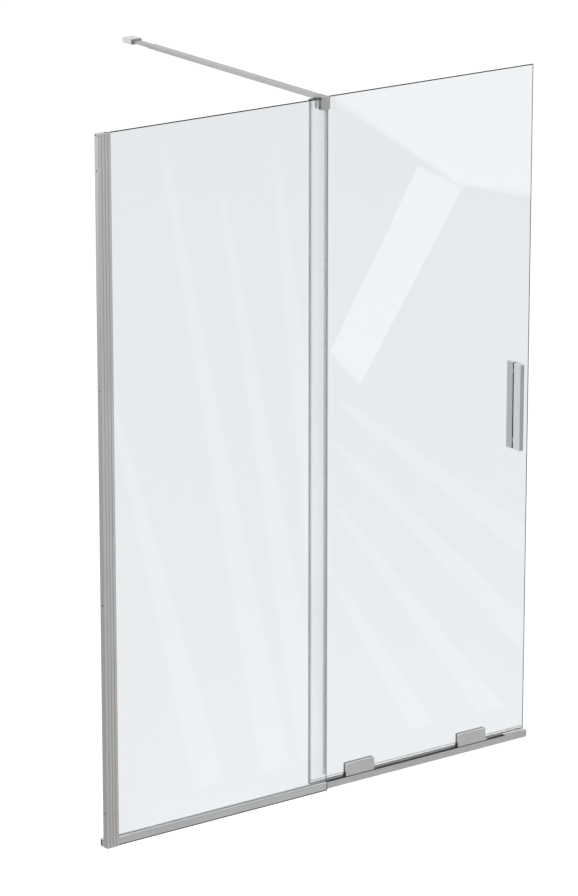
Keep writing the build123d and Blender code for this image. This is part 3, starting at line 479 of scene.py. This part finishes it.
print("pieces with a finish:", len(finished), "left out:", sorted(set(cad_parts) - finished))

# %% [markdown]
# ## Socket screws
#
# Five kinds of screw on the screen take a hexagon key. In the frame they are plain pins, so here they are
# made anew: a head or a body with a hexagon cut in, and a shank or a dog point below. One Geometry Nodes
# tree makes them all, because they differ only in size: it joins two cylinders, cuts the socket with a
# six-sided one, and puts the result on each point of a cloud, turned along its axis. The screws of the
# track's stops and of the bar's bracket stay plain pins.

# %% The screw tree
size_names = ("Head Radius", "Head Depth", "Shank Radius", "Shank Length", "Socket Radius", "Socket Depth")
head_corners, shank_corners, key_corners = 32, 20, 6


def socket_screw_tree():
    """The tree, and the identifier of each of its named inputs."""
    tree = bpy.data.node_groups.new("socket_screw", "GeometryNodeTree")
    sockets = {}
    face = tree.interface
    face.new_socket("Points", in_out="INPUT", socket_type="NodeSocketGeometry")
    kinds = {name: "Float" for name in size_names} | {"Direction": "Vector", "Finish": "Material"}
    for name, kind in kinds.items():
        sockets[name] = face.new_socket(name, in_out="INPUT", socket_type="NodeSocket" + kind).identifier
    face.new_socket("Screws", in_out="OUTPUT", socket_type="NodeSocketGeometry")
    sizes = tree.nodes.new("NodeGroupInput")
    result = tree.nodes.new("NodeGroupOutput")
    link = tree.links.new

    def maths(operation, a, b):
        made = tree.nodes.new("ShaderNodeMath")
        made.operation = operation
        for socket, value in zip(made.inputs, (a, b)):
            if isinstance(value, (int, float)):
                socket.default_value = value
            else:
                link(value, socket)
        return made.outputs["Value"]

    def cylinder(corners, radius, depth, middle=None):
        made = tree.nodes.new("GeometryNodeMeshCylinder")
        made.inputs["Vertices"].default_value = corners
        link(radius, made.inputs["Radius"])
        link(depth, made.inputs["Depth"])
        if middle is None:
            return made.outputs["Mesh"]
        moved = tree.nodes.new("GeometryNodeTransform")
        shift = tree.nodes.new("ShaderNodeCombineXYZ")
        link(middle, shift.inputs["Z"])
        link(shift.outputs["Vector"], moved.inputs["Translation"])
        link(made.outputs["Mesh"], moved.inputs["Geometry"])
        return moved.outputs["Geometry"]

    head_depth = sizes.outputs["Head Depth"]
    head_middle = maths("MULTIPLY", head_depth, -0.5)
    head = cylinder(head_corners, sizes.outputs["Head Radius"], head_depth, head_middle)
    shank_depth = maths("ADD", sizes.outputs["Shank Length"], maths("MULTIPLY", head_depth, 0.3))
    shank_low = maths("ADD", head_depth, sizes.outputs["Shank Length"])
    shank_middle = maths("SUBTRACT", maths("MULTIPLY", shank_depth, 0.5), shank_low)
    shank = cylinder(shank_corners, sizes.outputs["Shank Radius"], shank_depth, shank_middle)
    key_depth = maths("MULTIPLY", sizes.outputs["Socket Depth"], 2.0)
    key = cylinder(key_corners, sizes.outputs["Socket Radius"], key_depth)
    joined = tree.nodes.new("GeometryNodeMeshBoolean")
    joined.operation = "UNION"
    link(head, joined.inputs["Mesh 2"])
    link(shank, joined.inputs["Mesh 2"])
    cut = tree.nodes.new("GeometryNodeMeshBoolean")
    cut.operation = "DIFFERENCE"
    link(joined.outputs["Mesh"], cut.inputs["Mesh 1"])
    link(key, cut.inputs["Mesh 2"])
    turn = tree.nodes.new("FunctionNodeAlignRotationToVector")
    turn.axis = "Z"
    link(sizes.outputs["Direction"], turn.inputs["Vector"])
    placed = tree.nodes.new("GeometryNodeInstanceOnPoints")
    link(sizes.outputs["Points"], placed.inputs["Points"])
    link(cut.outputs["Mesh"], placed.inputs["Instance"])
    link(turn.outputs["Rotation"], placed.inputs["Rotation"])
    real = tree.nodes.new("GeometryNodeRealizeInstances")
    link(placed.outputs["Instances"], real.inputs["Geometry"])
    finish = tree.nodes.new("GeometryNodeSetMaterial")
    link(real.outputs["Geometry"], finish.inputs["Geometry"])
    link(sizes.outputs["Finish"], finish.inputs["Material"])
    link(finish.outputs["Geometry"], result.inputs["Screws"])
    return tree, sockets


screw_tree, screw_sockets = socket_screw_tree()
print("nodes in the screw tree:", len(screw_tree.nodes))

# %% [markdown]
# The screws go where the frame's pins are. Each pin is a closed shell of its own in its piece, so the shells
# are told apart, and each one's box gives the middle of the screw's head.

# %% Screws in the place of pins
same_point = 1e-6


def shell_boxes(piece):
    """The lowest and highest corner of each closed shell of a piece."""
    shells = bmesh.new()
    shells.from_mesh(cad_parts[piece].data)
    bmesh.ops.remove_doubles(shells, verts=shells.verts, dist=same_point)
    left, boxes = set(shells.verts), []
    while left:
        reached = [left.pop()]
        for vert in reached:
            for edge in vert.link_edges:
                other = edge.other_vert(vert)
                if other in left:
                    left.discard(other)
                    reached.append(other)
        corners = list(zip(*(v.co for v in reached)))
        boxes.append((Vector([min(c) for c in corners]), Vector([max(c) for c in corners])))
    shells.free()
    return boxes


# %% [markdown]
# A screw sits at the end of each pin that its direction points to. The pins of the bar are of two sorts, so a
# test can choose among them. The tree's result is copied as a plain mesh, and its host is removed.

# %% Screws of one piece
def screws(piece, direction, sizes, keep=lambda low, high: True):
    """A mesh of the screws in the place of one piece's pins."""
    direction = Vector(direction)
    points = []
    for low, high in shell_boxes(piece):
        if keep(low, high):
            middle, half = (low + high) / 2, (high - low) / 2
            points.append(middle + Vector([d * h for d, h in zip(direction, half)]))
    cloud = bpy.data.meshes.new(piece + "_points")
    cloud.from_pydata(points, [], [])
    host = bpy.data.objects.new(piece + "_host", cloud)
    bpy.context.collection.objects.link(host)
    modifier = host.modifiers.new("screws", "NODES")
    modifier.node_group = screw_tree
    for name, value in sizes.items():
        modifier[screw_sockets[name]] = value * mm
    modifier[screw_sockets["Direction"]] = direction
    modifier[screw_sockets["Finish"]] = screw_steel
    host.update_tag()
    seen = host.evaluated_get(bpy.context.evaluated_depsgraph_get())
    mesh = bpy.data.meshes.new_from_object(seen)
    bpy.data.objects.remove(host)
    return mesh


def screw_piece(name, node_name, body, meshes):
    """One object of one or more screw meshes, in the place of a piece of the frame."""
    whole = bmesh.new()
    for mesh in meshes:
        whole.from_mesh(mesh)
    bmesh.ops.recalc_face_normals(whole, faces=whole.faces)
    mesh = bpy.data.meshes.new(name)
    whole.to_mesh(mesh)
    whole.free()
    mesh.materials.append(screw_steel)
    piece = bpy.data.objects.new(name, mesh)
    bpy.context.collection.objects.link(piece)
    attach(piece, body)
    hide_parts(node_name)
    print(name, "faces:", len(mesh.polygons))


# %% [markdown]
# The sizes are in millimetres, in this order: the radius and depth of the head, the radius and length of the
# shank, and the radius and depth of the socket. A long screw keeps the length of its pin, and a grub screw is
# nearly all body with a short dog point.

# %% The five kinds of screw
def screw_sizes(head_radius, head_depth, shank_radius, shank_length, socket_radius, socket_depth):
    """Sizes by the names of the tree's inputs."""
    values = (head_radius, head_depth, shank_radius, shank_length, socket_radius, socket_depth)
    return dict(zip(size_names, values))


def pin_length(piece, axis):
    low, high = shell_boxes(piece)[0]
    return (high - low)["XYZ".index(axis)] / mm


back, up, down, out = (0, 1, 0), (0, 0, 1), (0, 0, -1), (1, 0, 0)
lock_head, clamp_head, dog_point = 1.5, 2.8, 0.4
lock_shank = pin_length("profile_lock_screws", "Y") - lock_head
clamp_shank = pin_length("carriage_clamp_screws", "Y") - clamp_head
grub_body = pin_length("handle_grub_screws", "X") - dog_point
grip_body = pin_length("clamp_set_screws", "Y") - dog_point
lock_sizes = screw_sizes(3.5, lock_head, 1.75, lock_shank, 1.5, 1.0)
clamp_sizes = screw_sizes(4.8, clamp_head, 2.5, clamp_shank, 2.3, 2.0)
grub_sizes = screw_sizes(2.0, grub_body, 1.4, dog_point, 1.1, 1.6)
grip_sizes = screw_sizes(2.5, grip_body, 1.8, dog_point, 1.4, 1.0)
for name, pins, body, direction, sizes in (
    ("socket_lock_screws", "profile_lock_screws", "frame", back, lock_sizes),
    ("socket_clamp_screws", "carriage_clamp_screws", "door", back, clamp_sizes),
    ("socket_grub_screws", "handle_grub_screws", "door", out, grub_sizes),
    ("socket_grip_screws", "clamp_set_screws", "frame", back, grip_sizes),
):
    screw_piece(name, pins, body, [screws(pins, direction, sizes)])
bar_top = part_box("support_bar_tube")[1].z
bar_screw = screw_sizes(2.0, 4.0, 1.4, 0.8, 1.1, 1.6)
from_above = screws("support_bar_screws", up, bar_screw, lambda low, high: high.z > bar_top - mm)
from_below = screws("support_bar_screws", down, bar_screw, lambda low, high: high.z <= bar_top - mm)
screw_piece("socket_bar_screws", "support_bar_screws", "frame", [from_above, from_below])

# %% [markdown]
# ## Pads of the handle
#
# Each grip rests on the glass through a thin dark pad, which stops short of the white bushes round the studs.
# The pads are too thin for the frame, so they are made here from the boxes of the grips and the bushes:
# three pieces of sheet for each grip, cut as blocks with softened edges.

# %% Handle pads
def pad_sheets(grip_name, y_low, y_high, margin=0.6 * mm, gap=0.4 * mm):
    """Low and high corners of the sheets between a grip and the glass, clear of the bushes."""
    low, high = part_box(grip_name)
    bushes = sorted(shell_boxes("handle_bushes"), key=lambda ends: ends[0].z)
    stops = [low.z + margin]
    for bush_low, bush_high in bushes:
        if bush_low.z - gap > stops[-1]:
            stops += [bush_low.z - gap, bush_high.z + gap]
    stops.append(high.z - margin)
    return [
        (Vector((low.x + margin, y_low, a)), Vector((high.x - margin, y_high, b)))
        for a, b in zip(stops[::2], stops[1::2])
    ]


glass_low, glass_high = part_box("sliding_glass")
skin, pad_edge = 0.05 * mm, 0.15 * mm
front_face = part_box("handle_front")[1].y
rear_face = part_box("handle_rear")[0].y
sheets = pad_sheets("handle_front", front_face + skin, glass_low.y - skin)
sheets += pad_sheets("handle_rear", glass_high.y + skin, rear_face - skin)
pads = bmesh.new()
for low, high in sheets:
    made = bmesh.ops.create_cube(pads, size=1.0)["verts"]
    bmesh.ops.scale(pads, vec=high - low, verts=made)
    bmesh.ops.translate(pads, vec=(low + high) / 2, verts=made)
bmesh.ops.bevel(pads, geom=pads.edges[:], offset=pad_edge, segments=1, affect="EDGES")
pad_mesh = bpy.data.meshes.new("handle_pads")
pads.to_mesh(pad_mesh)
pads.free()
pad_mesh.materials.append(dark_rubber)
handle_pads = bpy.data.objects.new("handle_pads", pad_mesh)
bpy.context.collection.objects.link(handle_pads)
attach(handle_pads, "door")
print("sheets in the handle:", len(sheets))

# %% [markdown]
# ## The floor and the white surround
#
# A product photograph stands on white paper. The floor is a plain pale plane that keeps the object's shadow:
# a little of its brightness is its own colour under the lamps, and the rest is added by the kind of ray,
# most for the camera, less through glass, and least in a reflection, so that metal keeps its grey.
# The world behind it is white for the camera and a little less through glass and in reflections. The levels
# are set by comparing greys, so that the panes and metals come near to the photograph.

# %% Floor and world
def seen_level(tree, camera, through_glass, mirrored, otherwise):
    """A strength that depends on what looks: the camera, the camera through glass, a reflection, or else."""
    path = node(tree, "LightPath")
    level = None
    for ray, strength in (
        ("Is Glossy Ray", mirrored),
        ("Is Transmission Ray", through_glass),
        ("Is Camera Ray", camera),
    ):
        pick = node(tree, "Mix", data_type="FLOAT")
        pick.inputs["A"].default_value = otherwise
        pick.inputs["B"].default_value = strength
        tree.links.new(path.outputs[ray], pick.inputs["Factor"])
        if level:
            tree.links.new(level, pick.inputs["A"])
        level = pick.outputs["Result"]
    return level


floor_size, floor_middle = 60, (0.7, 0.4, -0.2 * mm)
bpy.ops.mesh.primitive_plane_add(size=floor_size, location=floor_middle)
studio_floor = bpy.context.object
studio_floor.name = "studio_floor"
material, tree, shader = bare_material("floor_paper", base_color=rgb(0.2), roughness=0.9)
shader.inputs["Specular IOR Level"].default_value = 0.0
glow = node(tree, "Emission")
floor_level = seen_level(tree, camera=0.95, through_glass=0.765, mirrored=0.42, otherwise=0.0)
tree.links.new(floor_level, glow.inputs["Strength"])
both = node(tree, "AddShader")
tree.links.new(shader.outputs["BSDF"], both.inputs[0])
tree.links.new(glow.outputs["Emission"], both.inputs[1])
tree.links.new(both.outputs["Shader"], tree.nodes["Material Output"].inputs["Surface"])
studio_floor.data.materials.append(material)
studio_floor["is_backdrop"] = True

world = bpy.data.worlds.new("white_surround")
world.use_nodes = True
bpy.context.scene.world = world
sky = world.node_tree
sky_level = seen_level(sky, camera=1.0, through_glass=0.82, mirrored=0.9, otherwise=0.55)
sky.links.new(sky_level, sky.nodes["Background"].inputs["Strength"])
sky.nodes["Background"].inputs["Color"].default_value = (1, 1, 1, 1)

# %% [markdown]
# ## Lamps
#
# Large soft lamps far away give even light. The key lamp stands high at the front left, a weak low one at the
# back left lifts the faces that look towards the wall, and a third fills from the right.

# %% Soft lamps
def soft_lamp(name, place, aim, size, watts):
    data = bpy.data.lights.new(name, "AREA")
    data.shape = "RECTANGLE"
    data.size, data.size_y = size
    data.energy = watts
    lamp = bpy.data.objects.new(name, data)
    bpy.context.collection.objects.link(lamp)
    lamp.location = place
    lamp.rotation_euler = (Vector(aim) - Vector(place)).to_track_quat("-Z", "Y").to_euler()
    lamp.visible_camera = False
    lamp.visible_transmission = False
    print(name, "at", tuple(place))
    return lamp


screen_middle = (cad_low + cad_high) / 2
soft_lamp("key_lamp", (-3.0, -5.0, 5.0), screen_middle, (3.0, 3.0), 200)
soft_lamp("back_left_lamp", (-4.0, 5.0, 1.2), screen_middle, (3.0, 2.4), 20)
soft_lamp("fill_lamp", (6.0, -4.0, 3.0), screen_middle, (3.0, 3.0), 60)

# %% [markdown]
# ## The camera
#
# The photograph was taken from the front left and from above, with a long lens. Its place was worked out from
# the screen's corners and edges: the numbers are the direction, the distance and the lens that fit them best.

# %% Camera
view_azimuth = -35.63
view_elevation = 17.05
view_distance = 12.371
view_target = Vector((0.618, 0.0, 1.034))
focal_pixels = 4508
frame_height_pixels = 896

azimuth, elevation = math.radians(view_azimuth), math.radians(view_elevation)
towards_camera = Vector(
    (math.sin(azimuth) * math.cos(elevation), -math.cos(azimuth) * math.cos(elevation), math.sin(elevation))
)
camera_data = bpy.data.cameras.new("camera")
camera_data.sensor_width = 36.0
camera_data.lens = focal_pixels / frame_height_pixels * camera_data.sensor_width
camera_data.clip_end = 100
camera = bpy.data.objects.new("camera", camera_data)
bpy.context.collection.objects.link(camera)
camera.location = view_target + towards_camera * view_distance
camera.rotation_euler = (-towards_camera).to_track_quat("-Z", "Y").to_euler()
bpy.context.scene.camera = camera
bpy.context.scene.view_settings.view_transform = "Standard"
print("lens in millimetres:", round(camera_data.lens, 1))

# %% [markdown]
# ## Reflections in the panes
#
# Clear glass on white shows little but what it mirrors. In the photograph the door mirrors a pale patch and
# two bright bars that meet in a corner, and both panes mirror faint streaks. A photographer gets those with
# strips of light on stands. Here they are flat strips in front of the panes, which only reflections see, and
# which add their light to what lies behind them. Each strip is drawn on the pane first, and every corner is
# then carried along the mirrored line of sight to the plane of the strips.

# %% Strips of light
card_distance = 0.22


def mirrored(x, z, pane_front):
    """Where the line of sight through this point of a pane's front face meets the plane of the strips."""
    point = Vector((x, pane_front, z))
    sight = (point - camera.location).normalized()
    sight.y = -sight.y
    return point + sight * ((pane_front + card_distance) / -sight.y)


def bar_between(start, end, width):
    """The four corners of a bar between two (x, z) on a pane. width may be a pair, one for each end."""
    along = (Vector(end) - Vector(start)).normalized()
    across = Vector((-along.y, along.x))
    first, last = width if isinstance(width, tuple) else (width, width)
    return [
        Vector(start) + across * first / 2,
        Vector(end) + across * last / 2,
        Vector(end) - across * last / 2,
        Vector(start) - across * first / 2,
    ]


# %% [markdown]
# A strip is several thin layers of growing size, half a millimetre apart, so that its edges fade.

# %% One group of strips
layers, layer_gap = 5, 0.5 * mm


def light_strips(name, shapes, strength, pane_front, softness):
    """Strips that add strength to what a pane mirrors. softness spreads each edge over that distance."""
    material = bpy.data.materials.new(name)
    material.use_nodes = True
    tree = material.node_tree
    tree.nodes.remove(tree.nodes["Principled BSDF"])
    glow, clear, both = node(tree, "Emission"), node(tree, "BsdfTransparent"), node(tree, "AddShader")
    glow.inputs["Strength"].default_value = strength / layers
    tree.links.new(glow.outputs["Emission"], both.inputs[0])
    tree.links.new(clear.outputs["BSDF"], both.inputs[1])
    tree.links.new(both.outputs["Shader"], tree.nodes["Material Output"].inputs["Surface"])
    material.cycles.emission_sampling = "NONE"
    corners, faces = [], []
    for layer in range(layers):
        grow = softness * (layer / (layers - 1) - 0.5)
        for shape in shapes:
            middle = sum(shape, Vector((0, 0))) / len(shape)
            first = len(corners)
            for corner in shape:
                out = corner - middle
                spread = corner + Vector((math.copysign(grow, out.x), math.copysign(grow, out.y)))
                behind = Vector((0, layer * layer_gap, 0))
                corners.append(mirrored(spread.x, spread.y, pane_front) - behind)
            faces.append(list(range(first, first + len(shape))))
    mesh = bpy.data.meshes.new(name)
    mesh.from_pydata(corners, [], faces)
    mesh.materials.append(material)
    strips = bpy.data.objects.new(name, mesh)
    bpy.context.collection.objects.link(strips)
    for ray in ("camera", "diffuse", "transmission", "volume_scatter", "shadow"):
        setattr(strips, "visible_" + ray, False)
    strips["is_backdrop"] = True


# %% [markdown]
# The places below are (x, z) on the pane in metres, and follow what the photograph shows.

# %% The strips of the two panes
door_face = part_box("sliding_glass")[0].y
fixed_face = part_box("fixed_glass")[0].y
corner_of_light = (1.21, 1.70)
patch = [Vector(c) for c in ((0.78, 1.995), corner_of_light, (1.47, 1.632), (1.47, 1.998))]
light_strips("pale_patch", [patch], 1.8, door_face, 0.012)
bars = [
    bar_between((0.79, 1.985), corner_of_light, 0.020),
    bar_between(corner_of_light, (1.47, 1.628), 0.024),
]
light_strips("narrow_bars", bars, 1.0, door_face, 0.012)
wide_bar = [Vector(c) for c in ((1.06, 1.76), (0.77, 1.285), (0.875, 1.175), (1.215, 1.675))]
light_strips("wide_bar", [wide_bar], 1.6, door_face, 0.016)
door_ends = (
    ((0.80, 1.13), (1.49, 0.58)),
    ((0.80, 1.00), (1.49, 0.29)),
    ((0.80, 0.82), (1.38, 0.06)),
    ((0.80, 0.60), (1.12, 0.06)),
)
door_streaks = [bar_between(start, end, (0.02, 0.08)) for start, end in door_ends]
light_strips("door_streaks", door_streaks, 0.5, door_face, 0.04)
fixed_ends = (
    ((0.22, 1.92), (0.57, 0.06)),
    ((0.41, 1.76), (0.70, 0.06)),
    ((0.05, 1.25), (0.35, 0.06)),
    ((0.58, 1.87), (0.72, 0.64)),
)
fixed_streaks = [bar_between(start, end, (0.02, 0.10)) for start, end in fixed_ends]
light_strips("fixed_streaks", fixed_streaks, 0.5, fixed_face, 0.04)
print("strips of light:", 2 + len(bars) + len(door_streaks) + len(fixed_streaks))

# %% [markdown]
# ## Closing
#
# The finished model's box is found in the same way as the frame's box.

# %% Sizes and the end
low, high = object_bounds()
